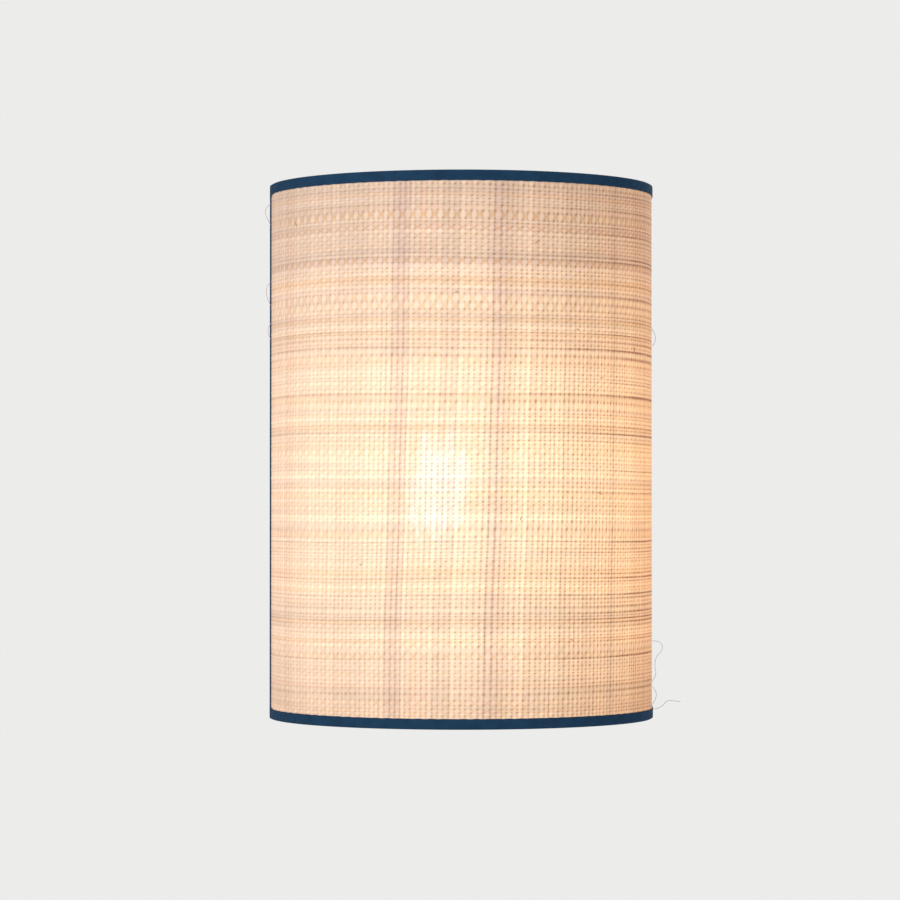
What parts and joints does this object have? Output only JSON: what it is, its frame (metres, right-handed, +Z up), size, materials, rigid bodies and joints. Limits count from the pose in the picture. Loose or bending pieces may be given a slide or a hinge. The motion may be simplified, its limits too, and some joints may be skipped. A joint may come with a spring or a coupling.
{
  "type": "wall lamp",
  "caption": "Half-round wall lamp with a woven raffia shade bound in navy tape, hung on a steel wall plate with a sideways screw-cap bulb.",
  "frame": {"origin": "middle of the wall plate's back face, on the wall, level with the middle of the shade", "axes": "+X to the right seen from the room, +Y into the wall, +Z up"},
  "size_m": [0.2172, 0.1102, 0.3],
  "materials": {
    "raffia": "natural woven raffia, matt",
    "liner": "translucent white sheet",
    "navy_tape": "woven cotton tape, matt",
    "white_wire": "white powder coat",
    "white_plate": "white powder coat",
    "bushing_rubber": "matt black",
    "zinc": "zinc plated",
    "holder_white": "moulded, satin",
    "holder_insert": "glazed off-white",
    "brass": "stamped and turned",
    "opal": "opal, diffusing",
    "bulb_white": "moulded",
    "nickel": "nickel plated",
    "insulator_black": "dark insulator",
    "board_white": "white solder mask",
    "block_white": "moulded nylon",
    "wire_brown": "brown sleeve",
    "wire_blue": "blue sleeve",
    "wire_earth": "green and yellow sleeve"
  },
  "bodies": {
    "wall_fixture": {"wall_plate": "white_plate", "lampholder_bracket": "white_plate", "cable_bushing": "bushing_rubber", "bracket_screws": "zinc", "earth_screw": "zinc", "block_screw": "zinc", "nipple": "zinc", "nipple_washer": "zinc", "nipple_nut": "zinc", "terminal_screws": "zinc", "lampholder_base": "holder_white", "lampholder_skirt": "holder_white", "lampholder_insert": "holder_insert", "screw_sleeve": "brass", "centre_contact": "brass", "terminal_barrels": "brass", "earth_tag": "nickel", "terminal_block": "block_white", "live_lead": "wire_brown", "neutral_lead": "wire_blue", "earth_lead": "wire_earth"},
    "shade": {"raffia_cover": "raffia", "shade_liner": "liner", "top_ring": "white_wire", "top_back_bar": "white_wire", "bottom_ring": "white_wire", "bottom_back_bar": "white_wire", "left_upright": "white_wire", "right_upright": "white_wire", "hanging_bar": "white_wire", "top_binding": "navy_tape", "bottom_binding": "navy_tape", "left_binding": "navy_tape", "right_binding": "navy_tape"},
    "bulb_glass": {"bulb_globe": "opal"},
    "bulb_base": {"bulb_housing": "bulb_white", "bulb_led_board": "board_white", "bulb_cap": "nickel", "bulb_insulator": "insulator_black", "bulb_contact": "brass"}
  },
  "joints": [
    {"name": "shade_lift", "type": "slide", "parent": "wall_fixture", "child": "shade", "axis": [0, 0, 1], "range_m": [0, 0.012]},
    {"name": "bulb_travel", "type": "slide", "parent": "wall_fixture", "child": "bulb_glass", "axis": [-1, 0, 0], "range_m": [0, 0.01453]},
    {"name": "bulb_turn", "type": "hinge", "parent": "bulb_glass", "child": "bulb_base", "pos_m": [0, -0.05, -0.02], "axis": [-1, 0, 0], "range_deg": [0, 1440]}
  ],
  "couplings": [
    {"joint": "bulb_travel", "follows": "bulb_turn", "m_per_rad": 0.00057751}
  ]
}
